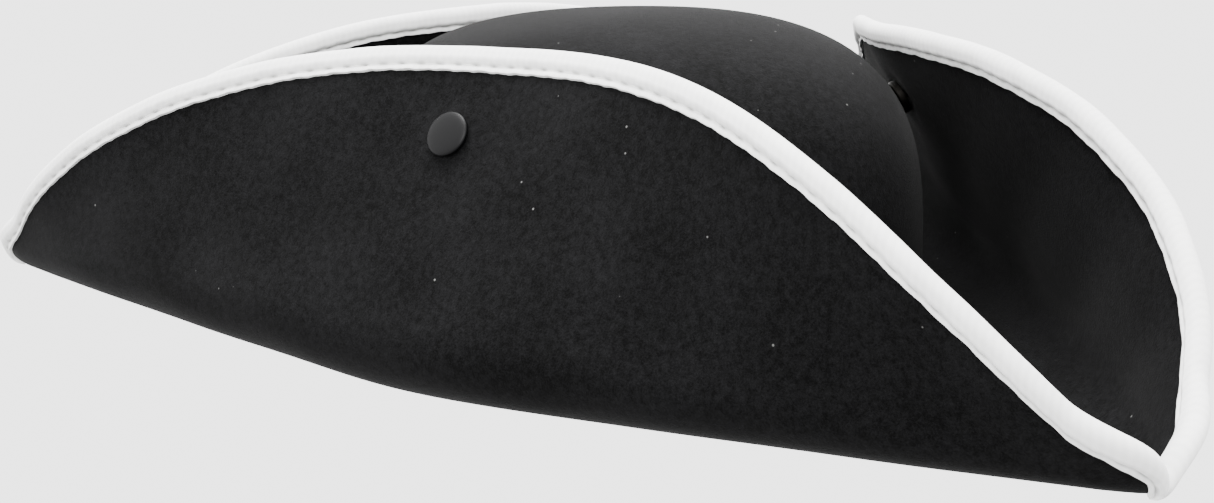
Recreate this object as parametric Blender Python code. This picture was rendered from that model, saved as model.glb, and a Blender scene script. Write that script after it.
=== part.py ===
"""A three-cornered pirate hat of black wool felt with a white bound edge.

Units are metres, +Z is up, the front horn points to -Y and the wearer's left is +X.
The hat stands on the flat underside of its brim at z = 0, and the middle of its outline
is at x = y = 0. Each of the three brim flaps is folded up and held by a press stud, and
turns down about its own fold line once the stud is undone.
"""

import math

import bmesh
import bpy
import numpy as np
from mathutils import Matrix, Vector

# Felt body
FELT = 0.0025
CROWN_HALF_WIDTH = 0.088
CROWN_HALF_LENGTH = 0.102
CROWN_HEIGHT = 0.095
CROWN_SIDE_POWER = 4.7
CROWN_TOP_POWER = 2.7
FLAT_RING = 0.0035
FOLD_STRIP = 0.010

# Fold lines, as straight chords from horn to horn that the felt bows away from
SIDE_FOLD_TURN = math.radians(27.0)
SIDE_FOLD_GAP = 0.0048
BACK_FOLD_GAP = 0.0228
SIDE_FOLD_BOW = math.radians(3.6)
BACK_FOLD_BOW = math.radians(-7.0)
HORN_RISE = 0.0091
FOLD_EASE = 0.022
BEND_RADIUS = 0.014
HORN_BEND_RADIUS = 0.005

# Flaps
SIDE_FLAP_HEIGHT = 0.110
BACK_FLAP_HEIGHT = 0.1035
FRONT_EDGE_POWER = 1.92
REAR_EDGE_POWER = 1.63
EDGE_ROUNDING = 0.727
LEAN_POWER = 1.6
FRONT_HORN_LEAN = math.radians(56.0)
REAR_HORN_LEAN = math.radians(79.0)
BACK_FLAP_HORN_LEAN = math.radians(63.0)
NOSE_LENGTH = 0.004
NOSE_LEAN = math.radians(60.0)
NOSE_SPAN = 0.014
HORN_SPAN = 0.012
FOLD_CUT = 0.0025

# Bound edge
TAPE = 0.0009
BINDING_WIDTH = 0.005
BINDING_EASE = 0.0011

# Press studs
SNAP_FROM_EDGE = 0.027
SNAP_REACH = 0.0072
SNAP_PULL = math.radians(2.0)
SNAP_PULL_WIDTH = 0.030
SNAP_PAD = 0.009
CAP_RADIUS = 0.0065
CAP_RISE = 0.0022
CAP_STEM_RADIUS = 0.0016
CAP_DOME_SHARES = (1.0, 0.96, 0.85, 0.65, 0.35, 0.0)
SOCKET_RADIUS = 0.0058
SOCKET_PLATE = 0.0012
SOCKET_DEPTH = 0.0014
SOCKET_MOUTH_RADIUS = 0.0034
STUD_FLANGE_RADIUS = 0.0050
STUD_FLANGE = 0.0012
STUD_HEAD = 0.002
STUD_HEAD_RADIUS = 0.0019
STUD_HEAD_SWELL = 0.6
STUD_NECK_RADIUS = 0.0016
STUD_BORE_DEPTH = 0.0009
POST_RADIUS = 0.0012
POST_DISC_RADIUS = 0.0048
POST_DISC = 0.0008
POST_EASE = 0.0011
CAP_EASE = 0.0005
PIECE_RIM = 0.0009

# Sweatband
BAND_HEIGHT = 0.032
BAND_THICKNESS = 0.001

# The most that a feature may take of the felt it lies on, near the horns' tips
LONGEST_BEND = 0.9
LONGEST_CUT = 0.6
WIDEST_BINDING = 0.6
WIDEST_RING = 0.6
WIDEST_STRIP = 0.3

# Search for the lean at which a flap's stud is closed
LEAN_SEARCH = (math.radians(40.0), math.radians(160.0))
LEAN_HALVINGS = 50

# Clearance between touching pieces, and the mesh's fineness
GAP = 0.0003
FLAP_COLUMNS = 9
COLUMN_CROWDING = 1.35
HORN_COLUMNS = 5
FLOOR_ROWS = 5
BEND_ROWS = 4
WALL_ROWS = 2
CROWN_SIDES = 40
CROWN_RINGS = 9
ROUND_SIDES = 16
ARM_STEPS = 2
ROLL_STEPS = 4
OUTLINE_COLUMNS = 81
OUTLINE_ROWS = 25
SHARP_EDGE = math.radians(40.0)
MERGE = 1e-6
SLOPE_STEP = 1e-5


def unit(vector):
    return vector / np.linalg.norm(vector)


def smooth(t):
    t = min(max(t, 0.0), 1.0)
    return t * t * (3 - 2 * t)


def mix(a, b, t):
    return a + (b - a) * t


# ---------------------------------------------------------------- crown shape


def crown_scale(z):
    """How wide the crown's outside is at height z, as a share of its width at the foot."""
    up = min(max(z / CROWN_HEIGHT, 0.0), 1.0)
    return (1 - up**CROWN_SIDE_POWER) ** (1 / CROWN_TOP_POWER)


def outside_crown(point):
    """Above zero outside the crown, below zero inside it."""
    x, y, z = point
    return math.hypot(x / CROWN_HALF_WIDTH, y / CROWN_HALF_LENGTH) - crown_scale(z)


def crown_facing(point):
    """Direction in which the crown's outside looks at a point on it."""
    slopes = []
    for axis in np.eye(3) * SLOPE_STEP:
        slopes.append(outside_crown(point + axis) - outside_crown(point - axis))
    return unit(np.array(slopes))


def crown_reach(direction):
    """How far the crown's foot reaches along a level direction."""
    return math.hypot(CROWN_HALF_WIDTH * direction[0], CROWN_HALF_LENGTH * direction[1])


# ------------------------------------------------------------------ flap shape


class Flap:
    """One flap of the brim, as a surface over u, along its fold from -1 to 1, and l,
    the length of felt outwards from the fold. Where l is below zero, the point is on the
    level brim between the fold and the crown."""

    def __init__(self, name, start, end, bow, height, leans, powers):
        self.name = name
        self.along = unit(end - start)
        self.outward = np.array([self.along[1], -self.along[0]])
        self.middle = (start + end) / 2
        self.half = np.linalg.norm(end - start) / 2
        self.bow = math.tan(bow)
        self.height = height
        self.end_leans = leans
        self.end_powers = powers
        self.nose_ways = {}
        self.snap_lean = self.closed_lean()

    def ease(self, s):
        return math.hypot(s, FOLD_EASE) - FOLD_EASE

    def from_tip(self, u):
        return (1 - abs(u)) * self.half

    def length(self, u):
        """Length of felt and binding beyond the fold."""
        power = self.end_powers[0] if u < 0 else self.end_powers[1]
        share = (1 - abs(u) ** power) ** EDGE_ROUNDING
        return mix(NOSE_LENGTH, self.height, share)

    def lean(self, u):
        """Angle through which the felt turns up: a right angle is upright."""
        horn = self.end_leans[0] if u < 0 else self.end_leans[1]
        s = u * self.half
        pull = SNAP_PULL * math.exp(-((s / SNAP_PULL_WIDTH) ** 2))
        share = self.ease(s) / self.ease(self.half)
        lean = mix(self.snap_lean, horn, share**LEAN_POWER) + pull
        return mix(NOSE_LEAN, lean, smooth(self.from_tip(u) / NOSE_SPAN))

    def bend_length(self, u):
        radius = mix(BEND_RADIUS, HORN_BEND_RADIUS, abs(u) ** 6)
        return min(radius * self.lean(u), LONGEST_BEND * self.length(u))

    def way_out(self, u):
        """Level direction across the fold, which turns to the horn's own at its tip."""
        nose = self.nose_ways.get(u > 0, self.outward)
        return unit(mix(nose, self.outward, smooth(self.from_tip(u) / NOSE_SPAN)))

    def point(self, u, l, off=0.0):
        """Middle of the felt, or off from it: above zero is the face that shows outside."""
        s = u * self.half
        lean = self.lean(u)
        bend = self.bend_length(u)
        radius = bend / lean
        turn = min(max(l, 0.0) / radius, lean)
        straight = max(l - bend, 0.0) + min(l, 0.0)
        bow = self.bow * (self.ease(self.half) - self.ease(s))
        rise = HORN_RISE * self.ease(s) / self.ease(self.half)
        out = radius * math.sin(turn) + straight * math.cos(turn) + off * math.sin(turn)
        up = rise + radius * (1 - math.cos(turn)) + max(straight, 0.0) * math.sin(turn)
        up -= off * math.cos(turn)
        level = self.middle + s * self.along + bow * self.outward + out * self.way_out(u)
        return np.array([level[0], level[1], up])

    def facing(self, u, l):
        """Direction in which the outer face looks."""
        return unit(self.point(u, l, FELT) - self.point(u, l))

    def snap_place(self):
        """Middle of the felt at the press stud, and the way its cap looks."""
        l = self.height - SNAP_FROM_EDGE
        return self.point(0.0, l), self.facing(0.0, l)

    def stud_place(self):
        """The crown's outside where the stud stands, and the way the stud looks."""
        place, way = self.snap_place()
        seat = place - SNAP_REACH * way
        return seat, crown_facing(seat)

    def closed_lean(self):
        """The lean at which the closed stud holds this flap against the crown."""
        low, high = LEAN_SEARCH
        for _ in range(LEAN_HALVINGS):
            self.snap_lean = (low + high) / 2
            place, way = self.snap_place()
            if outside_crown(place - SNAP_REACH * way) > 0:
                low = self.snap_lean
            else:
                high = self.snap_lean
        return self.snap_lean


def make_flaps():
    """The three flaps, counterclockwise from the front horn."""
    side = np.array([math.cos(SIDE_FOLD_TURN), -math.sin(SIDE_FOLD_TURN)])
    side_fold = crown_reach(side) + SIDE_FOLD_GAP
    back_fold = CROWN_HALF_LENGTH + BACK_FOLD_GAP
    front = np.array([0.0, side_fold / side[1]])
    left = np.array([(side_fold - side[1] * back_fold) / side[0], back_fold])
    right = np.array([-left[0], left[1]])
    side_leans = (FRONT_HORN_LEAN, REAR_HORN_LEAN)
    side_powers = (FRONT_EDGE_POWER, REAR_EDGE_POWER)
    left_side = (SIDE_FOLD_BOW, SIDE_FLAP_HEIGHT, side_leans, side_powers)
    right_side = (SIDE_FOLD_BOW, SIDE_FLAP_HEIGHT, side_leans[::-1], side_powers[::-1])
    rear = (BACK_FOLD_BOW, BACK_FLAP_HEIGHT, (BACK_FLAP_HORN_LEAN,) * 2, (REAR_EDGE_POWER,) * 2)
    flaps = [
        Flap("left", front, left, *left_side),
        Flap("back", left, right, *rear),
        Flap("right", right, front, *right_side),
    ]
    for before, after in zip(flaps, flaps[1:] + flaps[:1]):
        nose = unit(before.outward + after.outward)
        before.nose_ways[True] = nose
        after.nose_ways[False] = nose
    return flaps


FLAPS = make_flaps()


def outline_middle():
    """How far the crown's centre is behind the middle of the hat's outline."""
    reach = FELT / 2 + BINDING_EASE + TAPE
    ys = []
    for flap in FLAPS:
        for u in np.linspace(-1, 1, OUTLINE_COLUMNS):
            length = flap.length(u)
            for l in np.linspace(0, length, OUTLINE_ROWS):
                ys.append(flap.point(u, l, FELT / 2)[1])
            ys.append(flap.point(u, length, 0.0)[1])
            ys.append(flap.point(u, length - reach, reach)[1])
    return -(min(ys) + max(ys)) / 2


CENTRE = np.array([0.0, outline_middle(), FELT / 2])


# -------------------------------------------------------------------- meshes


def material(name, colour, roughness, metallic=0.0):
    made = bpy.data.materials.new(name)
    made.use_nodes = True
    shader = made.node_tree.nodes["Principled BSDF"]
    shader.inputs["Base Color"].default_value = (*colour, 1.0)
    shader.inputs["Roughness"].default_value = roughness
    shader.inputs["Metallic"].default_value = metallic
    return made


def add_object(name, bm, finish):
    bmesh.ops.remove_doubles(bm, verts=bm.verts, dist=MERGE)
    bmesh.ops.dissolve_degenerate(bm, edges=bm.edges, dist=MERGE)
    bmesh.ops.recalc_face_normals(bm, faces=bm.faces)
    mesh = bpy.data.meshes.new(name)
    bm.to_mesh(mesh)
    bm.free()
    mesh.materials.append(finish)
    mesh.shade_smooth()
    mesh.set_sharp_from_angle(angle=SHARP_EDGE)
    obj = bpy.data.objects.new(name, mesh)
    bpy.context.scene.collection.objects.link(obj)
    return obj


def grid_cell(column, after, row):
    return [(column, row), (after, row), (after, row + 1), (column, row + 1)]


def skin_solid(name, faces_of, cells, finish):
    """A closed sheet over grid cells. faces_of(corner) gives the two faces' points."""
    bm = bmesh.new()
    placed = {}

    def corner(key):
        if key not in placed:
            placed[key] = [bm.verts.new(CENTRE + point) for point in faces_of(key)]
        return placed[key]

    edges = {}
    for ring in cells:
        a, b, c, d = (corner(key) for key in ring)
        for half in ((a, b, c), (a, c, d)):
            bm.faces.new([pair[0] for pair in half])
            bm.faces.new([pair[1] for pair in reversed(half)])
        for a, b in zip(ring, ring[1:] + ring[:1]):
            edges[frozenset((a, b))] = edges.get(frozenset((a, b)), []) + [(a, b)]
    for uses in edges.values():
        if len(uses) == 1:
            a, b = (corner(key) for key in uses[0])
            bm.faces.new([b[0], a[0], a[1], b[1]])
    return add_object(name, bm, finish)


def turned(name, profile, finish, place, way):
    """A round piece from its (radius, height) profile, standing at place along way."""
    bm = bmesh.new()
    rings = []
    for radius, height in profile:
        sides = ROUND_SIDES if radius > 0 else 1
        ring = []
        for i in range(sides):
            angle = 2 * math.pi * i / sides
            across = (radius * math.cos(angle), radius * math.sin(angle))
            ring.append(bm.verts.new((*across, height)))
        rings.append(ring)
    for low, high in zip(rings, rings[1:] + rings[:1]):
        for i in range(ROUND_SIDES):
            j = (i + 1) % ROUND_SIDES
            corners = [low[i % len(low)], low[j % len(low)]]
            corners += [high[j % len(high)], high[i % len(high)]]
            corners = list(dict.fromkeys(corners))
            if len(corners) > 2:
                bm.faces.new(corners)
    obj = add_object(name, bm, finish)
    stand_at(obj, place, way)
    return obj


def stand_at(obj, place, way):
    turn = Vector(way).to_track_quat("Z", "Y").to_matrix().to_4x4()
    obj.matrix_world = Matrix.Translation(CENTRE + place) @ turn


def cut_round_hole(obj, radius, depth, place, way):
    """A hole along way, centred on place."""
    bm = bmesh.new()
    bmesh.ops.create_cone(
        bm, cap_ends=True, segments=ROUND_SIDES, radius1=radius, radius2=radius, depth=depth
    )
    mesh = bpy.data.meshes.new(obj.name + "_hole")
    bm.to_mesh(mesh)
    bm.free()
    cutter = bpy.data.objects.new(mesh.name, mesh)
    bpy.context.scene.collection.objects.link(cutter)
    stand_at(cutter, place, way)
    cutter.hide_render = True
    cutter.display_type = "WIRE"
    hole = obj.modifiers.new("hole", "BOOLEAN")
    hole.operation = "DIFFERENCE"
    hole.object = cutter


# ---------------------------------------------------------------------- felt


def crown_faces(key):
    """Outer and inner point of the crown on one of its sides and rings."""
    side, ring = key
    angle = 2 * math.pi * side / CROWN_SIDES
    foot = FELT / 2 + GAP
    band_tilt = math.asin((BAND_HEIGHT / CROWN_HEIGHT) ** (CROWN_SIDE_POWER / 2))
    tilt = mix(band_tilt, math.pi / 2, (ring - 1) / (CROWN_RINGS - 1))
    z = CROWN_HEIGHT * math.sin(tilt) ** (2 / CROWN_SIDE_POWER) if ring else foot
    if ring == CROWN_RINGS:
        top = np.array([0.0, 0.0, CROWN_HEIGHT])
        return top, top - np.array([0.0, 0.0, FELT])
    level = crown_scale(z)
    wide = CROWN_HALF_WIDTH * level * math.cos(angle)
    long = CROWN_HALF_LENGTH * level * math.sin(angle)
    outer = np.array([wide, long, z])
    facing = crown_facing(outer)
    if ring == 0:
        facing = unit(facing * np.array([1.0, 1.0, 0.0]))
    return outer, outer - FELT * facing


def make_crown(finish):
    """The dome over the head, standing on the brim's inner ring."""
    cells = []
    for side in range(CROWN_SIDES):
        after = (side + 1) % CROWN_SIDES
        for ring in range(CROWN_RINGS):
            cells.append(grid_cell(side, after, ring))
    crown = skin_solid("crown", crown_faces, cells, finish)
    for flap in FLAPS:
        seat, way = flap.stud_place()
        cut_round_hole(crown, POST_RADIUS + GAP, 3 * FELT, seat, way)
    return crown


def flap_columns(flap):
    """Values of u from horn to horn. The flap's own felt ends short of both tips."""
    own = 1 - HORN_SPAN / flap.half
    horn = 1 - (HORN_SPAN - GAP) / flap.half
    pad = SNAP_PAD / flap.half
    side = []
    for i in range(FLAP_COLUMNS + 1):
        share = 1 - (1 - i / FLAP_COLUMNS) ** COLUMN_CROWDING
        side.append(mix(pad, own, share))
    side += [mix(horn, 1.0, i / HORN_COLUMNS) for i in range(HORN_COLUMNS + 1)]
    return [-u for u in reversed(side)] + [0.0] + side


def felt_edge(flap, u):
    """Length from the fold to the felt's own edge, inside the folded tape."""
    return flap.length(u) - FELT / 2 - BINDING_EASE - TAPE


def arm_rows(flap, u):
    """Lengths at which the tape lies on the felt, up to the felt's edge."""
    edge = felt_edge(flap, u)
    arm = min(BINDING_WIDTH, WIDEST_BINDING * edge)
    return [edge - arm * (1 - i / ARM_STEPS) for i in range(ARM_STEPS + 1)]


def felt_rows(flap, u):
    """Lengths from the fold to the felt's edge. The first is where the fold is parted."""
    arms = arm_rows(flap, u)
    parting = min(FOLD_CUT, LONGEST_CUT * arms[0])
    bend_end = min(flap.bend_length(u), LONGEST_BEND * arms[0])
    rows = [parting - GAP]
    rows += [mix(parting, bend_end, i / BEND_ROWS) for i in range(BEND_ROWS)]
    rows += [mix(bend_end, arms[0], i / WALL_ROWS) for i in range(WALL_ROWS)]
    return rows + arms


def wall_faces(flap, columns):
    def faces(key):
        column, row = key
        u = columns[column]
        l = felt_rows(flap, u)[row]
        return flap.point(u, l, FELT / 2), flap.point(u, l, -FELT / 2)

    return faces


def make_flap_felt(flap, finish):
    """The turned-up part of one flap, outwards from its fold."""
    columns = flap_columns(flap)
    first, last = HORN_COLUMNS + 1, len(columns) - HORN_COLUMNS - 2
    rows = len(felt_rows(flap, 0.0))
    cells = []
    for column in range(first, last):
        for row in range(1, rows - 1):
            cells.append(grid_cell(column, column + 1, row))
    obj = skin_solid(flap.name + "_flap_felt", wall_faces(flap, columns), cells, finish)
    place, way = flap.snap_place()
    cut_round_hole(obj, CAP_STEM_RADIUS + GAP, 3 * FELT, place, way)
    return obj


def floor_point(flap, u, row):
    """Brim between crown and fold: the head opening, two edges of the flat ring's rise,
    and a strip along the fold that is level across it."""
    fold = flap.point(u, 0.0)
    level = fold[:2]
    foot = level / math.hypot(level[0] / CROWN_HALF_WIDTH, level[1] / CROWN_HALF_LENGTH)
    way = unit(level)
    width = np.linalg.norm(level - foot)
    ring = min(FLAT_RING, WIDEST_RING * width)
    strip = min(FOLD_STRIP, WIDEST_STRIP * width)
    reaches = [-FELT, ring, (ring + width - strip) / 2, width - strip, width]
    rises = [0.0, 0.0, 0.5, 1.0, 1.0]
    place = foot + reaches[row] * way
    return np.array([place[0], place[1], rises[row] * fold[2]])


def brim_faces(stations):
    """Lower and upper point of the brim base, floor rows first and then felt rows."""

    def faces(key):
        column, row = key
        flap, u = stations[column]
        if row < FLOOR_ROWS:
            middle = floor_point(flap, u, row)
            drop = np.array([0.0, 0.0, FELT / 2])
            return middle - drop, middle + drop
        l = felt_rows(flap, u)[row - FLOOR_ROWS]
        return flap.point(u, l, FELT / 2), flap.point(u, l, -FELT / 2)

    return faces


def make_brim_base(finish):
    """The ring of brim round the head opening, with the three horn tips."""
    stations = []
    in_horn = []
    for flap in FLAPS:
        columns = flap_columns(flap)
        for i, u in enumerate(columns[:-1]):
            stations.append((flap, u))
            in_horn.append(i < HORN_COLUMNS or i >= len(columns) - HORN_COLUMNS - 1)
    all_rows = FLOOR_ROWS + len(felt_rows(FLAPS[0], 0.0))
    cells = []
    for column in range(len(stations)):
        after = (column + 1) % len(stations)
        top = all_rows if in_horn[column] else FLOOR_ROWS + 1
        for row in range(top - 1):
            cells.append(grid_cell(column, after, row))
    return skin_solid("brim_base", brim_faces(stations), cells, finish)


# -------------------------------------------------------------------- binding


def binding_section(flap, u):
    """The folded tape's outline across the edge, as its inner line and its outer line."""
    inner = FELT / 2 + BINDING_EASE
    outer = inner + TAPE
    steps = arm_rows(flap, u)
    edge = steps.pop()
    seat = edge + BINDING_EASE
    inside = [flap.point(u, l, inner) for l in steps + [seat]]
    inside += [flap.point(u, l, -inner) for l in [seat] + steps[::-1]]
    ahead = unit(flap.point(u, edge) - flap.point(u, edge - GAP))
    side = flap.facing(u, edge)
    roll = []
    for i in range(ROLL_STEPS + 1):
        angle = math.pi * i / ROLL_STEPS
        reach = math.sin(angle) * ahead + math.cos(angle) * side
        roll.append(flap.point(u, edge) + outer * reach)
    outside = [flap.point(u, l, outer) for l in steps]
    outside += roll + [flap.point(u, l, -outer) for l in steps[::-1]]
    return inside, outside


def close_section(bm, inside, outside):
    """An end of the folded tape, as a strip of faces between its inner and outer line."""
    for i in range(ARM_STEPS):
        bm.faces.new([inside[i], inside[i + 1], outside[i + 1], outside[i]])
        bm.faces.new([inside[-1 - i], inside[-2 - i], outside[-2 - i], outside[-1 - i]])
    half = ROLL_STEPS // 2
    for i in range(ROLL_STEPS):
        near = inside[ARM_STEPS] if i <= half else inside[ARM_STEPS + 1]
        a, b = outside[ARM_STEPS + i], outside[ARM_STEPS + i + 1]
        if i == half:
            bm.faces.new([near, inside[ARM_STEPS + 1], b, a])
        else:
            bm.faces.new([near, b, a])


def join_strip(bm, a, b, c, d, rising):
    """Two triangles, split the same way as the felt under them."""
    halves = ((a, b, c), (a, c, d)) if rising else ((a, b, d), (b, c, d))
    for half in halves:
        bm.faces.new(half)


def make_binding(name, stations, finish):
    """Bias tape folded over the felt's edge along a run of (flap, u) stations."""
    bm = bmesh.new()
    sections = []
    for flap, u in stations:
        lines = binding_section(flap, u)
        sections.append([[bm.verts.new(CENTRE + point) for point in line] for line in lines])
    loops = [inside + outside[::-1] for inside, outside in sections]
    for a, b in zip(loops, loops[1:]):
        for i in range(len(a)):
            join_strip(bm, a[i - 1], a[i], b[i], b[i - 1], 0 < i <= ARM_STEPS)
    close_section(bm, *sections[0])
    close_section(bm, *sections[-1])
    return add_object(name, bm, finish)


def make_bindings(finish):
    for flap, after in zip(FLAPS, FLAPS[1:] + FLAPS[:1]):
        columns = flap_columns(flap)
        own = columns[HORN_COLUMNS + 1 : -HORN_COLUMNS - 1]
        make_binding(flap.name + "_flap_binding", [(flap, u) for u in own], finish)
        rising = [(flap, u) for u in columns[-HORN_COLUMNS - 1 :]]
        leaving = [(after, u) for u in flap_columns(after)[1 : HORN_COLUMNS + 1]]
        horn = {"left": "left_rear", "back": "right_rear", "right": "front"}[flap.name]
        make_binding(horn + "_horn_binding", rising + leaving, finish)


# ------------------------------------------------------------ studs, sweatband


def make_cap_and_socket(flap, cap_finish, metal):
    """The flap's half of a press stud: a domed cap outside, its stem through the felt,
    and the socket that the stem holds inside. Heights run from the middle of the felt."""
    place, way = flap.snap_place()
    face = FELT / 2 + CAP_EASE
    plate = -face - SOCKET_PLATE
    mouth = plate - SOCKET_DEPTH
    cap = [(0.0, plate + GAP), (CAP_STEM_RADIUS, plate + GAP), (CAP_STEM_RADIUS, face)]
    cap += [(CAP_RADIUS - PIECE_RIM / 2, face), (CAP_RADIUS, face + PIECE_RIM / 2)]
    dome = CAP_RISE - PIECE_RIM
    for share in CAP_DOME_SHARES:
        cap.append((CAP_RADIUS * share, face + PIECE_RIM + dome * math.sqrt(1 - share**2)))
    turned(flap.name + "_snap_cap", cap, cap_finish, place, way)
    socket = [
        (CAP_STEM_RADIUS + GAP, -face),
        (CAP_STEM_RADIUS + GAP, plate),
        (SOCKET_MOUTH_RADIUS, plate),
        (SOCKET_MOUTH_RADIUS, mouth),
        (SOCKET_RADIUS - PIECE_RIM / 2, mouth),
        (SOCKET_RADIUS, mouth + PIECE_RIM),
        (SOCKET_RADIUS, -face),
    ]
    turned(flap.name + "_snap_socket", socket, metal, place, way)


def make_stud_and_post(flap, metal):
    """The crown's half: a stud outside, and inside a flat post whose stem holds the stud
    through the felt. Heights run from the crown's outside."""
    seat, way = flap.stud_place()
    back = GAP
    flange = back + STUD_FLANGE
    head = flange + STUD_HEAD
    bore = POST_RADIUS + GAP
    stud = [
        (0.0, back + STUD_BORE_DEPTH),
        (bore, back + STUD_BORE_DEPTH),
        (bore, back),
        (STUD_FLANGE_RADIUS, back),
        (STUD_FLANGE_RADIUS, flange - STUD_FLANGE / 2),
        (STUD_FLANGE_RADIUS - PIECE_RIM / 2, flange),
        (STUD_NECK_RADIUS, flange),
        (STUD_HEAD_RADIUS, mix(flange, head, STUD_HEAD_SWELL)),
        (STUD_HEAD_RADIUS - PIECE_RIM / 2, head),
        (0.0, head),
    ]
    turned(flap.name + "_snap_stud", stud, metal, seat, way)
    inside = -FELT - POST_EASE
    stem_end = back + STUD_BORE_DEPTH - GAP
    post = [
        (0.0, inside - POST_DISC),
        (POST_DISC_RADIUS, inside - POST_DISC),
        (POST_DISC_RADIUS, inside),
        (POST_RADIUS, inside),
        (POST_RADIUS, stem_end),
        (0.0, stem_end),
    ]
    turned(flap.name + "_snap_post", post, metal, seat, way)


def make_sweatband(finish):
    """Ribbon band round the inside of the head opening."""
    outer_gap = FELT + GAP
    heights = [FELT / 2 + GAP, BAND_HEIGHT]

    def faces(key):
        side, row = key
        angle = 2 * math.pi * side / CROWN_SIDES
        z = heights[row]
        points = []
        for inset in (outer_gap, outer_gap + BAND_THICKNESS):
            wide = (CROWN_HALF_WIDTH - inset) * crown_scale(z)
            long = (CROWN_HALF_LENGTH - inset) * crown_scale(z)
            points.append(np.array([wide * math.cos(angle), long * math.sin(angle), z]))
        return points

    cells = []
    for side in range(CROWN_SIDES):
        after = (side + 1) % CROWN_SIDES
        for row in range(len(heights) - 1):
            cells.append(grid_cell(side, after, row))
    return skin_solid("sweatband", faces, cells, finish)


# ------------------------------------------------------------------ the joints


def fold_hinge(flap):
    """Where a flap turns down: the middle of its fold line, and the line's direction.
    A positive turn lays the flap outwards."""
    line = flap.point(0.0, FOLD_CUT)
    place = np.array([line[0], line[1], -FELT / 2])
    return CENTRE + place, np.array([-flap.outward[1], flap.outward[0], 0.0])


def hang_on_hinge(flap):
    """Puts an empty on the fold line and makes it the parent of what the flap carries."""
    place, _ = fold_hinge(flap)
    hinge = bpy.data.objects.new(flap.name + "_fold_hinge", None)
    bpy.context.scene.collection.objects.link(hinge)
    hinge.location = place
    bpy.context.view_layer.update()
    for part in ("_flap_felt", "_flap_felt_hole", "_flap_binding", "_snap_cap", "_snap_socket"):
        piece = bpy.data.objects[flap.name + part]
        piece.parent = hinge
        piece.matrix_parent_inverse = hinge.matrix_world.inverted()


def main():
    for obj in list(bpy.data.objects):
        bpy.data.objects.remove(obj)
    felt = material("black_wool_felt", (0.018, 0.018, 0.018), 0.95)
    tape = material("white_bias_tape", (0.86, 0.86, 0.85), 0.8)
    enamel = material("dark_grey_cap", (0.045, 0.045, 0.045), 0.4)
    metal = material("blackened_metal", (0.08, 0.08, 0.08), 0.35, 0.9)
    ribbon = material("black_ribbon", (0.02, 0.02, 0.022), 0.7)
    make_crown(felt)
    make_brim_base(felt)
    make_bindings(tape)
    for flap in FLAPS:
        make_flap_felt(flap, felt)
        make_cap_and_socket(flap, enamel, metal)
        make_stud_and_post(flap, metal)
        hang_on_hinge(flap)
    make_sweatband(ribbon)


main()
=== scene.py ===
# %% [markdown]
# # A three-cornered hat of black wool felt
# The real hat starts as one thick piece of wool felt. Its middle is steamed and pulled over a
# block, which makes the crown, and what is left round it is the brim. The brim's edge is bound
# with white tape, and then three sides of the brim are folded up and held by press studs. Where
# two folds meet, the brim stands out as a horn. This script builds the same things in the same
# order: felt, tape, stitches, press studs and the ribbon inside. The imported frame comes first,
# because every piece has to lie where its solid lies and move as its body moves.

# %% Load the fixed frame
import math

import bmesh
import bpy
import numpy as np
from mathutils import Matrix, Vector


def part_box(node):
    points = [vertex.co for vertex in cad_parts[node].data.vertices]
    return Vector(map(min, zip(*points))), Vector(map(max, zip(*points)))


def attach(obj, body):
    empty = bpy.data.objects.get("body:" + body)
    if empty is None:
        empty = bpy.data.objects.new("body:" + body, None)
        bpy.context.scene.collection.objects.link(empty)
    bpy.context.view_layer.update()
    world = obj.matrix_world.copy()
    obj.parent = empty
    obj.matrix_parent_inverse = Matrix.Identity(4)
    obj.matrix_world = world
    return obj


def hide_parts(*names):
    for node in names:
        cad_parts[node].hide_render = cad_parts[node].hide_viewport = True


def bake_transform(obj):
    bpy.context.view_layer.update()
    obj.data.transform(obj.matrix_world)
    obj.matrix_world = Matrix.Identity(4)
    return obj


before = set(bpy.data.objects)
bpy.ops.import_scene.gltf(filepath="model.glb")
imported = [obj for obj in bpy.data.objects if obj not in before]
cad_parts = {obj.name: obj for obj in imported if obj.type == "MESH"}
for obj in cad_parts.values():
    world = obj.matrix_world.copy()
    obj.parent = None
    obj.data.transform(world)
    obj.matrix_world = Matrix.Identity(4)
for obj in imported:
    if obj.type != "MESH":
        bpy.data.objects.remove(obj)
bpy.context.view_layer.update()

# %% [markdown]
# ## Small helpers for shapes
# All lengths are metres, so MM makes a size readable. The shapes are worked out for whole arrays
# of points at a time, which is quick and keeps each formula on one line.

# %% Shape helpers
MM = 0.001


def unit(vectors):
    return vectors / np.linalg.norm(vectors, axis=-1, keepdims=True)


def smooth(share):
    share = np.clip(share, 0.0, 1.0)
    return share * share * (3 - 2 * share)


def mix(a, b, share):
    return a + (b - a) * share


def evenly_along(points, count):
    """Positions from 0 to 1 in a list of points that are evenly spaced along its length."""
    steps = np.linalg.norm(np.diff(points, axis=0), axis=1)
    travelled = np.concatenate([[0.0], np.cumsum(steps)])
    wanted = np.linspace(0.0, travelled[-1], count)
    return np.interp(wanted, travelled, np.linspace(0.0, 1.0, len(points))), travelled[-1]


# %% [markdown]
# ## The crown's shape
# A blocked crown is an oval dome: nearly upright at the foot, with a soft shoulder and a flat
# round top. A superellipse says that with two powers. The first is how boxy the side is, and the
# second is how quickly the shoulder turns over.

# %% Crown shape
FELT = 2.5 * MM
CROWN_HALF_WIDTH = 88 * MM
CROWN_HALF_LENGTH = 102 * MM
CROWN_HEIGHT = 95 * MM
CROWN_SIDE_POWER = 4.7
CROWN_TOP_POWER = 2.7

crown_low, crown_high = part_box("crown")
CENTRE = np.array([0.0, (crown_low.y + crown_high.y) / 2, FELT / 2])
CROWN_OVAL = np.array([CROWN_HALF_WIDTH, CROWN_HALF_LENGTH])
SLOPE_STEP = 0.01 * MM


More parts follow.
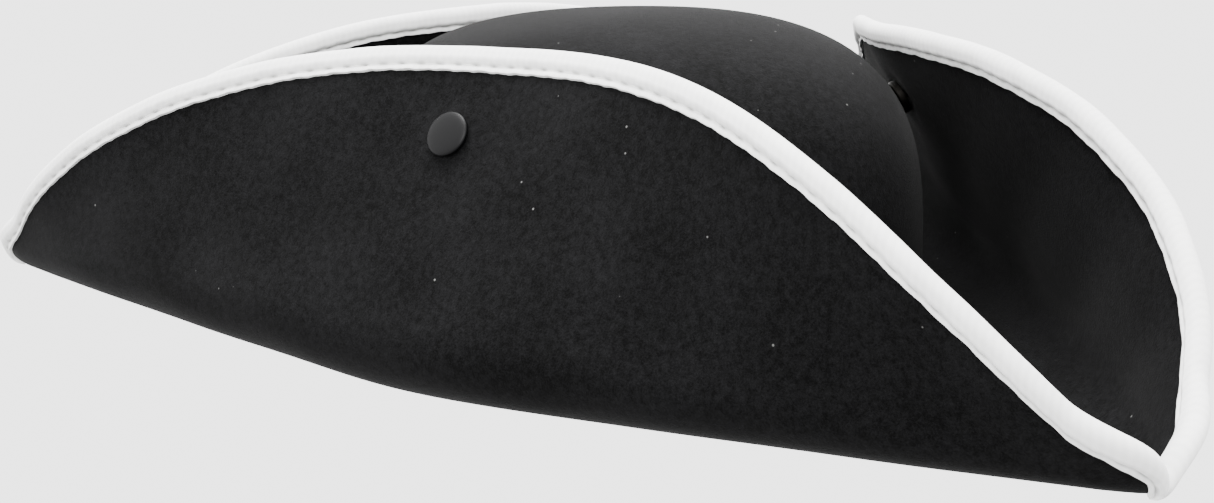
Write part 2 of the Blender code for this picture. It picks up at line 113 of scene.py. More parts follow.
def crown_scale(height):
    """Width of the crown at a height, as a share of its width at the foot."""
    up = np.clip(height / CROWN_HEIGHT, 0.0, 1.0)
    return (1 - up**CROWN_SIDE_POWER) ** (1 / CROWN_TOP_POWER)


def outside_crown(points):
    """Above zero outside the crown, below zero inside it."""
    return np.linalg.norm(points[..., :2] / CROWN_OVAL, axis=-1) - crown_scale(points[..., 2])


def crown_facing(points):
    """Way in which the crown's outside looks."""
    slopes = []
    for axis in np.eye(3) * SLOPE_STEP:
        slopes.append(outside_crown(points + axis) - outside_crown(points - axis))
    return unit(np.stack(slopes, axis=-1))


print("crown centre:", CENTRE.round(4))

# %% [markdown]
# ## The three flaps' shape
# Each flap is felt that turns up over a rounded bend along its fold line. A point of it has two
# coordinates: `u`, from horn to horn, and `l`, the length of felt from the fold. How far the felt
# leans in is not chosen: it is found from the press stud, as the lean at which the closed socket
# just meets the crown. Soft details are added to the same surface: slow waves that felt keeps
# from being handled, and the pull of the stud, which sinks the felt round its cap.

# %% Flap shape
SIDE_FOLD_TURN = math.radians(27.0)
SIDE_FOLD_GAP = 4.8 * MM
BACK_FOLD_GAP = 22.8 * MM
SIDE_FOLD_BOW = math.radians(3.6)
BACK_FOLD_BOW = math.radians(-7.0)
HORN_RISE = 9.1 * MM
FOLD_EASE = 22 * MM
BEND_RADIUS = 14 * MM
HORN_BEND_RADIUS = 5 * MM
HORN_BEND_POWER = 6
LONGEST_BEND = 0.9
SIDE_FLAP_HEIGHT = 110 * MM
BACK_FLAP_HEIGHT = 103.5 * MM
FRONT_EDGE_POWER = 1.92
REAR_EDGE_POWER = 1.63
EDGE_ROUNDING = 0.727
LEAN_POWER = 1.6
FRONT_HORN_LEAN = math.radians(56.0)
REAR_HORN_LEAN = math.radians(79.0)
BACK_FLAP_HORN_LEAN = math.radians(63.0)
NOSE_LENGTH = 4 * MM
NOSE_LEAN = math.radians(60.0)
NOSE_SPAN = 14 * MM
SNAP_FROM_EDGE = 27 * MM
SNAP_REACH = 7.2 * MM
SNAP_PULL = math.radians(2.0)
SNAP_PULL_WIDTH = 30 * MM
LEAN_SEARCH = (math.radians(40.0), math.radians(160.0))
LEAN_HALVINGS = 50

# Softness of the felt: waves of the whole flap, the swelling under the cap, the sink round it
WAVE_HEIGHT = 0.45 * MM
WAVE_ALONG = 62 * MM
WAVE_UP = 47 * MM
WAVE_FREE_FROM = 22 * MM
WAVE_FREE_OF_HORN = 3 * NOSE_SPAN
CAP_SWELL = 0.45 * MM
CAP_SWELL_RADIUS = 8.5 * MM
CAP_SINK = 0.8 * MM
CAP_SINK_RADIUS = 24 * MM


# %% A flap as a curved surface
class Flap:
    """One turned-up side of the brim."""

    def __init__(self, name, start, end, bow, height, leans, powers):
        self.name = name
        self.along = unit(end - start)
        self.outward = np.array([self.along[1], -self.along[0]])
        self.middle = (start + end) / 2
        self.half = float(np.linalg.norm(end - start)) / 2
        self.bow = math.tan(bow)
        self.height = height
        self.end_leans = leans
        self.end_powers = powers
        self.nose_ways = [self.outward, self.outward]
        self.soft = 0.0
        self.snap_lean = self.closed_lean()
        self.soft = 1.0

    def ease(self, s):
        return np.hypot(s, FOLD_EASE) - FOLD_EASE

    def from_tip(self, u):
        return (1 - np.abs(u)) * self.half

    def length(self, u):
        power = np.where(u < 0, self.end_powers[0], self.end_powers[1])
        share = (1 - np.abs(u) ** power) ** EDGE_ROUNDING
        return mix(NOSE_LENGTH, self.height, share)

    def lean(self, u):
        """Angle through which the felt turns up: a right angle is upright."""
        horn = np.where(u < 0, self.end_leans[0], self.end_leans[1])
        s = u * self.half
        share = self.ease(s) / self.ease(self.half)
        lean = mix(self.snap_lean, horn, share**LEAN_POWER)
        lean = lean + SNAP_PULL * np.exp(-((s / SNAP_PULL_WIDTH) ** 2))
        return mix(NOSE_LEAN, lean, smooth(self.from_tip(u) / NOSE_SPAN))

    def bend_length(self, u):
        radius = mix(BEND_RADIUS, HORN_BEND_RADIUS, np.abs(u) ** HORN_BEND_POWER)
        return np.minimum(radius * self.lean(u), LONGEST_BEND * self.length(u))

    def way_out(self, u):
        """Level way across the fold, which turns to the horn's own at its tip."""
        nose = np.where((u > 0)[..., None], self.nose_ways[1], self.nose_ways[0])
        share = smooth(self.from_tip(u) / NOSE_SPAN)[..., None]
        return unit(mix(nose, self.outward, share))

    def softness(self, u, l):
        """How far the real felt lies outside the smooth surface."""
        s = u * self.half
        wave = np.sin(2 * math.pi * s / WAVE_ALONG + self.height / MM)
        wave = wave * np.cos(2 * math.pi * l / WAVE_UP + s / WAVE_ALONG)
        free = smooth(l / WAVE_FREE_FROM) * smooth(self.from_tip(u) / WAVE_FREE_OF_HORN)
        away = np.hypot(s, l - (self.height - SNAP_FROM_EDGE))
        under_cap = np.exp(-((away / CAP_SWELL_RADIUS) ** 4))
        sink = CAP_SINK * np.exp(-((away / CAP_SINK_RADIUS) ** 2)) * (1 - under_cap)
        quiet = 1 - np.exp(-((away / CAP_SINK_RADIUS) ** 2))
        return self.soft * (WAVE_HEIGHT * wave * free * quiet + CAP_SWELL * under_cap - sink)

    def point(self, u, l, off=0.0):
        """A place on the flap. off is the way out from the middle of the felt, above zero on
        the face that shows outside."""
        u, l, off = np.broadcast_arrays(*(np.asarray(x, float) for x in (u, l, off)))
        off = off + self.softness(u, l)
        s = u * self.half
        lean = self.lean(u)
        bend = self.bend_length(u)
        radius = bend / lean
        turn = np.minimum(np.maximum(l, 0.0) / radius, lean)
        straight = np.maximum(l - bend, 0.0) + np.minimum(l, 0.0)
        bow = self.bow * (self.ease(self.half) - self.ease(s))
        rise = HORN_RISE * self.ease(s) / self.ease(self.half)
        out = radius * np.sin(turn) + straight * np.cos(turn) + off * np.sin(turn)
        up = rise + radius * (1 - np.cos(turn)) + np.maximum(straight, 0.0) * np.sin(turn)
        up = up - off * np.cos(turn)
        level = self.middle + s[..., None] * self.along + bow[..., None] * self.outward
        level = level + out[..., None] * self.way_out(u)
        return np.concatenate([level, up[..., None]], axis=-1)

    def facing(self, u, l):
        return unit(self.point(u, l, FELT) - self.point(u, l))

    def snap_place(self):
        """Middle of the felt at the press stud, and the way its cap looks."""
        l = self.height - SNAP_FROM_EDGE
        return self.point(0.0, l), self.facing(0.0, l)

    def stud_place(self):
        """Where the stud stands on the crown, and the way the stud looks."""
        place, way = self.snap_place()
        seat = place - SNAP_REACH * way
        return seat, crown_facing(seat)

    def closed_lean(self):
        low, high = LEAN_SEARCH
        for _ in range(LEAN_HALVINGS):
            self.snap_lean = (low + high) / 2
            place, way = self.snap_place()
            if outside_crown(place - SNAP_REACH * way) > 0:
                low = self.snap_lean
            else:
                high = self.snap_lean
        return self.snap_lean


# %% Three flaps round the crown
def make_flaps():
    """The three flaps, counterclockwise from the front horn."""
    side = np.array([math.cos(SIDE_FOLD_TURN), -math.sin(SIDE_FOLD_TURN)])
    side_fold = float(np.linalg.norm(CROWN_OVAL * side)) + SIDE_FOLD_GAP
    back_fold = CROWN_HALF_LENGTH + BACK_FOLD_GAP
    front = np.array([0.0, side_fold / side[1]])
    left = np.array([(side_fold - side[1] * back_fold) / side[0], back_fold])
    right = left * np.array([-1.0, 1.0])
    side_leans = (FRONT_HORN_LEAN, REAR_HORN_LEAN)
    side_powers = (FRONT_EDGE_POWER, REAR_EDGE_POWER)
    left_side = (SIDE_FOLD_BOW, SIDE_FLAP_HEIGHT, side_leans, side_powers)
    right_side = (SIDE_FOLD_BOW, SIDE_FLAP_HEIGHT, side_leans[::-1], side_powers[::-1])
    rear = (BACK_FOLD_BOW, BACK_FLAP_HEIGHT, (BACK_FLAP_HORN_LEAN,) * 2, (REAR_EDGE_POWER,) * 2)
    flaps = [
        Flap("left", front, left, *left_side),
        Flap("back", left, right, *rear),
        Flap("right", right, front, *right_side),
    ]
    for before, after in zip(flaps, flaps[1:] + flaps[:1]):
        nose = unit(before.outward + after.outward)
        before.nose_ways[1] = nose
        after.nose_ways[0] = nose
    return flaps


FLAPS = make_flaps()
for flap in FLAPS:
    cap_low, cap_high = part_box(flap.name + "_snap_cap")
    gap = (Vector(CENTRE + flap.snap_place()[0]) - (cap_low + cap_high) / 2).length
    print(f"{flap.name} flap leans {math.degrees(flap.snap_lean):.1f} degrees,",
          f"its cap is {gap / MM:.1f} mm from the felt's middle")

# %% [markdown]
# ## From points to meshes
# Felt and tape are thin, but they have two faces and an edge, so each piece is a closed shell:
# a grid of points for the face that shows, a second grid for the other face, and a rim between
# them. Points that fall together, as at the crown's top, are merged afterwards.

# %% Mesh helpers
MERGE = 0.001 * MM
SHARP_EDGE = math.radians(50.0)


def add_piece(name, points, faces, finish, layers=()):
    """A mesh object in the row frame. layers: UV layers by name, a pair for each point."""
    mesh = bpy.data.meshes.new(name)
    mesh.from_pydata((np.asarray(points) + CENTRE).tolist(), [], faces)
    corners = np.zeros(len(mesh.loops), np.int32)
    mesh.loops.foreach_get("vertex_index", corners)
    for layer_name, pairs in dict(layers).items():
        layer = mesh.uv_layers.new(name=layer_name)
        layer.data.foreach_set("uv", np.asarray(pairs, np.float32)[corners].ravel())
    bm = bmesh.new()
    bm.from_mesh(mesh)
    bmesh.ops.remove_doubles(bm, verts=bm.verts, dist=MERGE)
    bmesh.ops.recalc_face_normals(bm, faces=bm.faces)
    bm.to_mesh(mesh)
    bm.free()
    mesh.shade_smooth()
    mesh.set_sharp_from_angle(angle=SHARP_EDGE)
    mesh.materials.append(finish)
    piece = bpy.data.objects.new(name, mesh)
    bpy.context.scene.collection.objects.link(piece)
    return piece


def grid_faces(rows, columns, start=0, rows_meet=False, columns_meet=False):
    """Four-cornered faces over a grid whose points are numbered row by row."""
    faces = []
    for row in range(rows if rows_meet else rows - 1):
        below = (row + 1) % rows
        for column in range(columns if columns_meet else columns - 1):
            after = (column + 1) % columns
            ring = (row * columns + column, row * columns + after)
            ring += (below * columns + after, below * columns + column)
            faces.append([start + corner for corner in ring])
    return faces


def make_shell(name, shown, hidden, finish, columns_meet=False, layers=()):
    """A closed sheet between two grids of points, shaped (rows, columns, 3)."""
    rows, columns = shown.shape[:2]
    count = rows * columns
    points = np.concatenate([shown.reshape(-1, 3), hidden.reshape(-1, 3)])
    faces = grid_faces(rows, columns, columns_meet=columns_meet)
    faces += [face[::-1] for face in grid_faces(rows, columns, count, columns_meet=columns_meet)]
    border = []
    for row in (0, rows - 1):
        line = [row * columns + column for column in range(columns)]
        border.append(line + line[:1] if columns_meet else line)
    if not columns_meet:
        for column in (0, columns - 1):
            border.append([row * columns + column for row in range(rows)])
    for line in border:
        for a, b in zip(line, line[1:]):
            faces.append([a, b, b + count, a + count])
    both = {layer: np.concatenate([pairs, pairs]) for layer, pairs in dict(layers).items()}
    return add_piece(name, points, faces, finish, both)


# %% [markdown]
# ## Small helpers for finishes
# Colours are written as sRGB hex, the way a colour picker shows them, and turned to the linear
# values that light needs. One function adds a shader node with its settings and its links.

# %% Finish helpers
def linear(hex_colour):
    channels = [int(hex_colour[i : i + 2], 16) / 255 for i in (1, 3, 5)]
    light = [c / 12.92 if c <= 0.04045 else ((c + 0.055) / 1.055) ** 2.4 for c in channels]
    return (*light, 1.0)


def add_node(tree, kind, settings=(), links=()):
    """settings: node properties and unlinked inputs. links: input to (node, output)."""
    node = tree.nodes.new(kind)
    for name, value in dict(settings).items():
        if isinstance(name, str) and hasattr(node, name):
            setattr(node, name, value)
        else:
            node.inputs[name].default_value = value
    for name, (source, output) in dict(links).items():
        tree.links.new(source.outputs[output], node.inputs[name])
    return node


def new_finish(name, settings):
    """A material with its main shader, whose settings are the same all over."""
    made = bpy.data.materials.new(name)
    made.use_nodes = True
    shader = made.node_tree.nodes["Principled BSDF"]
    for socket, value in settings.items():
        shader.inputs[socket].default_value = value
    made.diffuse_color = settings.get("Base Color", (0.5, 0.5, 0.5, 1.0))
    return made, made.node_tree, shader


def per_metre(size):
    """Scale of a pattern whose features are this large."""
    return 1.0 / size


# %% [markdown]
# ## Wool felt
# Felt is wool fibre matted under steam and pressure, so it has no weave. It is charcoal rather
# than black, because its fuzz scatters light, and that shows as a pale sheen where the felt turns
# away. Close up the nap makes small clouds a millimetre or two wide, and single pale fibres and
# lint lie on it. Wool fibre is about 0.03 mm thick, far too fine to show, so the nap is drawn at
# 0.55 mm. A noise pattern could give one size of fleck, but felt has three, so the nap, the clouds
# and a slow drift of tone are added up. The colour is set lower than real felt's, because the
# studio's light is strong enough to make the tape white.

# %% Felt finish
NAP = 0.55 * MM
CLOUD = 2.0 * MM
DRIFT = 30 * MM
NAP_SHARE, CLOUD_SHARE, DRIFT_SHARE = 0.45, 0.35, 0.2
LINT_SPACING = 11 * MM
LINT_EDGE, LINT_CORE = 0.035, 0.02
LINT_COVER = 0.4
NAP_HEIGHT = 0.25 * MM
CLOUD_HEIGHT = 0.5 * MM


def make_felt():
    made, tree, shader = new_finish("black_wool_felt", {
        "Roughness": 0.95,
        "Specular IOR Level": 0.07,
        "Sheen Weight": 0.03,
        "Sheen Roughness": 0.4,
        "Sheen Tint": linear("#E8E8E8"),
    })
    place = add_node(tree, "ShaderNodeTexCoord")
    nap = add_node(tree, "ShaderNodeTexNoise",
                   {"Scale": per_metre(NAP), "Detail": 3.0, "Roughness": 0.65},
                   {"Vector": (place, "Object")})
    cloud = add_node(tree, "ShaderNodeTexNoise",
                     {"Scale": per_metre(CLOUD), "Detail": 3.0, "Roughness": 0.55},
                     {"Vector": (place, "Object")})
    drift = add_node(tree, "ShaderNodeTexNoise",
                     {"Scale": per_metre(DRIFT), "Detail": 2.0},
                     {"Vector": (place, "Object")})
    fine = add_node(tree, "ShaderNodeMath", {"operation": "MULTIPLY_ADD", 1: NAP_SHARE, 2: 0.0},
                    {0: (nap, "Fac")})
    with_cloud = add_node(tree, "ShaderNodeMath", {"operation": "MULTIPLY_ADD", 1: CLOUD_SHARE},
                          {0: (cloud, "Fac"), 2: (fine, 0)})
    tone = add_node(tree, "ShaderNodeMath", {"operation": "MULTIPLY_ADD", 1: DRIFT_SHARE},
                    {0: (drift, "Fac"), 2: (with_cloud, 0)})
    colour = add_node(tree, "ShaderNodeValToRGB", {}, {"Fac": (tone, 0)})
    dark, pale = colour.color_ramp.elements
    dark.position, dark.color = 0.40, linear("#020202")
    pale.position, pale.color = 0.64, linear("#131314")
    lint = add_node(tree, "ShaderNodeTexVoronoi", {"Scale": per_metre(LINT_SPACING)},
                    {"Vector": (place, "Object")})
    speck = add_node(tree, "ShaderNodeMapRange",
                     {"From Min": LINT_EDGE, "From Max": LINT_CORE,
                      "To Min": 0.0, "To Max": LINT_COVER},
                     {"Value": (lint, "Distance")})
    painted = add_node(tree, "ShaderNodeMix", {"data_type": "RGBA", 7: linear("#8C8C8A")},
                       {0: (speck, "Result"), 6: (colour, "Color")})
    tree.links.new(painted.outputs[2], shader.inputs["Base Color"])
    fuzz = add_node(tree, "ShaderNodeBump", {"Strength": 0.6, "Distance": NAP_HEIGHT},
                    {"Height": (nap, "Fac")})
    lumps = add_node(tree, "ShaderNodeBump", {"Strength": 0.12, "Distance": CLOUD_HEIGHT},
                     {"Height": (cloud, "Fac"), "Normal": (fuzz, "Normal")})
    tree.links.new(lumps.outputs["Normal"], shader.inputs["Normal"])
    return made


FELT_FINISH = make_felt()
print("made", FELT_FINISH.name)

# %% [markdown]
# ## Bias tape
# The white edge is cotton and polyester tape, cut across the weave so that it bends round a
# curve, and pressed soft. It is matt and bright. Its threads run across the edge as fine ribs.
# They are about 0.3 mm apart on real tape, and are drawn at 2.4 mm so that they show. Where the
# thread pulls the tape down, cloth presses on cloth and little light gets in. The mesh is too
# coarse for that crease, so its shade is painted into the colour: a painted shade darkens a narrow
# groove along the stitched line, and is darkest where each stitch dives in.

# %% Tape finish
RIB = 2.356 * MM
RIB_HEIGHT = 0.12 * MM
TAPE_CREASE = 7 * MM
CREASE_HEIGHT = 0.6 * MM
# Half widths of the groove in millimetres, which is what the seam layer counts across
GROOVE = 0.7
GROOVE_FLOOR = 0.1
# How dark the painted shade in the groove gets, and the share of it left between stitches
GROOVE_SHADE = 0.75
PAINTED_SHADE_BETWEEN_STITCHES = 0.35
# A wave texture takes the sine of 20 times its coordinate, so it repeats at this distance
WAVE_PERIOD = 2 * math.pi / 20


def make_tape(name, pale_hex, dark_hex, painted_shade_hex):
    made, tree, shader = new_finish(name, {
        "Roughness": 0.8,
        "Specular IOR Level": 0.3,
    })
    weave = add_node(tree, "ShaderNodeUVMap", {"uv_map": "weave"})
    ribs = add_node(tree, "ShaderNodeTexWave",
                    {"bands_direction": "X", "Scale": per_metre(RIB) * WAVE_PERIOD,
                     "Distortion": 0.6, "Detail": 2.0, "Detail Scale": 1.5},
                    {"Vector": (weave, "UV")})
    crease = add_node(tree, "ShaderNodeTexNoise",
                      {"Scale": per_metre(TAPE_CREASE), "Detail": 3.0},
                      {"Vector": (weave, "UV")})
    tone = add_node(tree, "ShaderNodeMath", {"operation": "MULTIPLY_ADD", 1: 0.35},
                    {0: (ribs, "Fac"), 2: (crease, "Fac")})
    colour = add_node(tree, "ShaderNodeValToRGB", {}, {"Fac": (tone, 0)})
    dark, pale = colour.color_ramp.elements
    dark.position, dark.color = 0.3, linear(dark_hex)
    pale.position, pale.color = 0.85, linear(pale_hex)
    # Painted shade of the stitched crease: the colour is darkened along the groove, most at each
    # stitch
    seam = add_node(tree, "ShaderNodeUVMap", {"uv_map": "seam"})
    place = add_node(tree, "ShaderNodeSeparateXYZ", {}, {"Vector": (seam, "UV")})
    turn = add_node(tree, "ShaderNodeMath", {"operation": "MULTIPLY", 1: 2 * math.pi},
                    {0: (place, "X")})
    beat = add_node(tree, "ShaderNodeMath", {"operation": "COSINE"}, {0: (turn, 0)})
    painted_stitch_shade = add_node(tree, "ShaderNodeMapRange",
                      {"From Min": -0.2, "From Max": 1.0,
                       "To Min": PAINTED_SHADE_BETWEEN_STITCHES, "To Max": 1.0},
                      {"Value": (beat, 0)})
    away = add_node(tree, "ShaderNodeMath", {"operation": "ABSOLUTE"}, {0: (place, "Y")})
    painted_groove_shade = add_node(tree, "ShaderNodeMapRange",
                      {"From Min": GROOVE, "From Max": GROOVE_FLOOR,
                       "To Min": 0.0, "To Max": GROOVE_SHADE},
                      {"Value": (away, 0)})
    shade = add_node(tree, "ShaderNodeMath", {"operation": "MULTIPLY"},
                     {0: (painted_groove_shade, "Result"), 1: (painted_stitch_shade, "Result")})
    shaded = add_node(tree, "ShaderNodeMix", {"data_type": "RGBA", 7: linear(painted_shade_hex)},
                      {0: (shade, 0), 6: (colour, "Color")})
    tree.links.new(shaded.outputs[2], shader.inputs["Base Color"])
    rib_bump = add_node(tree, "ShaderNodeBump", {"Strength": 0.22, "Distance": RIB_HEIGHT},
                        {"Height": (ribs, "Fac")})
    soft_bump = add_node(tree, "ShaderNodeBump", {"Strength": 0.3, "Distance": CREASE_HEIGHT},
                         {"Height": (crease, "Fac"), "Normal": (rib_bump, "Normal")})
    tree.links.new(soft_bump.outputs["Normal"], shader.inputs["Normal"])
    return made


# The last colour is the painted shade in the stitched groove
TAPE_FINISH = make_tape("white_bias_tape", "#FFFFFE", "#F4F4F3", "#A8A8A6")
print("made", TAPE_FINISH.name)

# %% [markdown]
# ## Thread, ribbon, enamel and metal
# The thread is spun polyester, a little shinier than the tape. The ribbon inside is grosgrain:
# black, with ribs across it that are about 1 mm apart on real ribbon and drawn at 3.5 mm so that
# they show. The caps are brass pressed to a dome and sprayed with a satin enamel, which gives
# broad soft highlights. The sockets and studs are blackened brass.

# %% Other finishes
THREAD_TWIST = 0.5 * MM
ORANGE_PEEL = 0.8 * MM
RIBBON_RIB = 3.456 * MM


def make_thread():
    made, tree, shader = new_finish("white_polyester_thread", {
        "Base Color": linear("#F4F4F2"), "Roughness": 0.55, "Sheen Weight": 0.1})
    place = add_node(tree, "ShaderNodeTexCoord")
    twist = add_node(tree, "ShaderNodeTexNoise", {"Scale": per_metre(THREAD_TWIST)},
                     {"Vector": (place, "Object")})
    bump = add_node(tree, "ShaderNodeBump", {"Strength": 0.3, "Distance": 0.1 * MM},
                    {"Height": (twist, "Fac")})
    tree.links.new(bump.outputs["Normal"], shader.inputs["Normal"])
    return made


def make_ribbon():
    made, tree, shader = new_finish("black_grosgrain_ribbon", {
        "Roughness": 0.55, "Sheen Weight": 0.15, "Sheen Roughness": 0.3})
    weave = add_node(tree, "ShaderNodeUVMap", {"uv_map": "weave"})
    ribs = add_node(tree, "ShaderNodeTexWave",
                    {"bands_direction": "X", "Scale": per_metre(RIBBON_RIB) * WAVE_PERIOD,
                     "Distortion": 0.3, "Detail": 1.0},
                    {"Vector": (weave, "UV")})
    colour = add_node(tree, "ShaderNodeValToRGB", {}, {"Fac": (ribs, "Fac")})
    dark, pale = colour.color_ramp.elements
    dark.color = linear("#101012")
    pale.color = linear("#242427")
    tree.links.new(colour.outputs["Color"], shader.inputs["Base Color"])
    bump = add_node(tree, "ShaderNodeBump", {"Strength": 0.8, "Distance": 0.3 * MM},
                    {"Height": (ribs, "Fac")})
    tree.links.new(bump.outputs["Normal"], shader.inputs["Normal"])
    return made


def make_coated(name, pale_hex, dark_hex, settings):
    """Enamel or blackening on pressed metal: a faint orange peel and a faint change of tone."""
    made, tree, shader = new_finish(name, settings)
    place = add_node(tree, "ShaderNodeTexCoord")
    peel = add_node(tree, "ShaderNodeTexNoise",
                    {"Scale": per_metre(ORANGE_PEEL), "Detail": 2.0},
                    {"Vector": (place, "Object")})
    colour = add_node(tree, "ShaderNodeValToRGB", {}, {"Fac": (peel, "Fac")})
    dark, pale = colour.color_ramp.elements
    dark.color = linear(dark_hex)
    pale.color = linear(pale_hex)
    tree.links.new(colour.outputs["Color"], shader.inputs["Base Color"])
    bump = add_node(tree, "ShaderNodeBump", {"Strength": 0.12, "Distance": 0.1 * MM},
                    {"Height": (peel, "Fac")})
    tree.links.new(bump.outputs["Normal"], shader.inputs["Normal"])
    return made


THREAD_FINISH = make_thread()
RIBBON_FINISH = make_ribbon()
ENAMEL_FINISH = make_coated("satin_grey_enamel", "#0A0A0B", "#070708",
                            {"Roughness": 0.4, "Specular IOR Level": 0.12})
METAL_FINISH = make_coated("blackened_brass", "#262422", "#191816",
                           {"Roughness": 0.5, "Metallic": 1.0})
print("made", THREAD_FINISH.name, RIBBON_FINISH.name, ENAMEL_FINISH.name, METAL_FINISH.name)

# %% [markdown]
# ## The felt body: crown and brim
# On the real hat the crown runs into the brim through a small round fillet, with no seam, so
# here they are one mesh too. Its columns follow the fold lines round the hat, and each column
# runs from the crown's top down its side, through the fillet and across the brim to the fold.

# %% Crown and brim
CROWN_FILLET = 3.5 * MM
FLAP_COLUMNS = 121
CROWN_ROWS = 52
FILLET_ROWS = 7
FLOOR_ROWS = 12
FOLD_STRIP_SHARE = 0.3
PROFILE_POINTS = 2000
CROWN_DENT = 0.5 * MM
DENT_FREE_FROM = 30 * MM


def fold_stations():
    """Fold points and flap ends all round the hat, without the repeated horn tips."""
    u = np.linspace(-1.0, 1.0, FLAP_COLUMNS)
    shown, hidden = [], []
    for flap in FLAPS:
        shown.append(flap.point(u[:-1], 0.0, -FELT / 2))
        hidden.append(flap.point(u[:-1], 0.0, FELT / 2))
    return np.concatenate(shown), np.concatenate(hidden)


def crown_dent(points):
    """Slow unevenness that a soft crown keeps from being worn and packed."""
    x, y, z = np.moveaxis(points, -1, 0)
    wave = np.sin(x / (23 * MM) + 1.0) * np.cos(y / (29 * MM))
    wave = wave + np.sin(y / (17 * MM) + z / (31 * MM))
    return CROWN_DENT * wave * smooth((z - 2 * CROWN_FILLET) / DENT_FREE_FROM)


def make_hat_body():
    fold_shown, fold_hidden = fold_stations()
    level = (fold_shown[:, :2] + fold_hidden[:, :2]) / 2
    foot = level / np.linalg.norm(level / CROWN_OVAL, axis=1)[:, None]
    away = unit(foot / CROWN_OVAL**2)
    corner_height = FELT / 2 + CROWN_FILLET
    turns = np.linspace(math.pi / 2, 0, PROFILE_POINTS)
    heights = CROWN_HEIGHT * np.sin(turns) ** (2 / CROWN_SIDE_POWER)
    heights = np.maximum(heights, corner_height)
    profile = np.stack([CROWN_HALF_WIDTH * crown_scale(heights), heights], axis=1)
    even, _ = evenly_along(profile, CROWN_ROWS)
    heights = np.interp(even, np.linspace(0, 1, len(heights)), heights)
    shown, hidden = [], []
    for i, height in enumerate(heights):
        outer = np.column_stack([foot * crown_scale(height), np.full(len(foot), height)])
        facing = np.tile([0.0, 0.0, 1.0], (len(foot), 1)) if i == 0 else crown_facing(outer)
        outer = outer + crown_dent(outer)[:, None] * facing
        shown.append(outer)
        hidden.append(outer - FELT * facing)
    for turn in np.linspace(0, math.pi / 2, FILLET_ROWS)[1:]:
        for rows, radius in ((shown, CROWN_FILLET), (hidden, CROWN_FILLET + FELT)):
            place = foot + away * (CROWN_FILLET - radius * math.cos(turn))
            rise = corner_height - radius * math.sin(turn)
            rows.append(np.column_stack([place, np.full(len(foot), rise)]))
    start = foot + away * CROWN_FILLET
    for share in np.linspace(0, 1, FLOOR_ROWS)[1:]:
        lift = smooth(share / (1 - FOLD_STRIP_SHARE))
        for rows, fold, side in ((shown, fold_shown, FELT / 2), (hidden, fold_hidden, -FELT / 2)):
            level = mix(start, fold[:, :2], share)
            rows.append(np.column_stack([level, mix(side, fold[:, 2], lift)]))
    return make_shell("hat_felt", np.array(shown), np.array(hidden), FELT_FINISH, columns_meet=True)


hat_felt = make_hat_body()
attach(hat_felt, "hat")
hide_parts("crown", "brim_base")
print("hat_felt has", len(hat_felt.data.polygons), "faces")

# %% [markdown]
# ## The felt flaps
# A flap goes on from the brim at the fold, turns up, and ends inside the tape. On the real hat
# it is the same felt, and it bends when the stud is undone. Here each flap is a piece of felt of
# its own, in the shape it has when closed.

# %% Flap felt
TAPE = 0.9 * MM
BINDING_EASE = 1.1 * MM
EDGE_REACH = FELT / 2 + BINDING_EASE + TAPE
FLAP_ROWS = 56
ROW_CROWDING = 1.25
AREA_STEPS = 400


def bend_with_flap(piece):
    """Bakes the piece's placement into its mesh."""
    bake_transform(piece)


def flat_area(flap):
    """Area of the flap's felt before it was folded up."""
    u = np.linspace(-1, 1, AREA_STEPS)
    return float((flap.length(u) - EDGE_REACH).mean() * 2 * flap.half)


for flap in FLAPS:
    u = np.linspace(-1.0, 1.0, FLAP_COLUMNS)[None, :]
    rows = np.linspace(0.0, 1.0, FLAP_ROWS)[:, None] ** ROW_CROWDING
    l = rows * (flap.length(u) - EDGE_REACH)
    felt = make_shell(flap.name + "_flap_felt_sheet", flap.point(u, l, FELT / 2),
                      flap.point(u, l, -FELT / 2), FELT_FINISH)
    bend_with_flap(felt)
    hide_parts(flap.name + "_flap_felt")
    flat_area(flap)
    print(f"{flap.name} flap: {2 * flap.half / MM:.0f} mm fold,",
          f"{flat_area(flap) * 1e4:.0f} square cm")

# %% [markdown]
# ## The bound edge
# The tape is folded over the felt's edge and sewn through all layers with one line of stitches.
# The thread pulls the tape down into a groove, so what is outside the groove puffs up into a
# round roll, and what is inside it lies flat as a narrow strip. Between stitches the strip's
# free edge waves a little. So the section has these features, and the stitch spacing drives
# the waves along it.

# %% Tape over the edge
BINDING_WIDTH = 4.6 * MM
STITCH = 6.2 * MM
SEAM = 2.7 * MM
SEAM_HEIGHT = 0.22 * MM
STRIP_HEIGHT = 0.8 * MM
ROLL_HEIGHT = 1.7 * MM
ROLL_PEAK = 0.6 * MM
EDGE_WAVE = 0.10 * MM
PUCKER = 0.16 * MM
DIMPLE = 0.22 * MM
STATION = 0.85 * MM
ARM_POINTS = 20
ROUND_POINTS = 11
EDGE_STEPS = 1500
TAPE_SEAT = 0.08 * MM
# Shapes of the section: a low power makes a full round shoulder, and the strip's arch is cut off
# before it comes back down to the felt
ROLL_FULLNESS = 0.55
STRIP_FULLNESS = 0.6
STRIP_ARCH = 0.62 * math.pi
ROLL_CHANGE = 0.05
STRIP_CHANGE = 0.18
STRIP_TIP = 0.07
THIN_AT_HORN = 0.55
SHARE_FOR_TAPE = 0.6
ROUND_SWELL = 1.06
ROUND_LINING = 0.6


def edge_line(flap):
    """u values, and the distance along the bound edge for each."""
    u = np.linspace(-1.0, 1.0, EDGE_STEPS)
    edge = flap.point(u, flap.length(u) - EDGE_REACH)
    steps = np.linalg.norm(np.diff(edge, axis=0), axis=1)
    return u, np.concatenate([[0.0], np.cumsum(steps)])


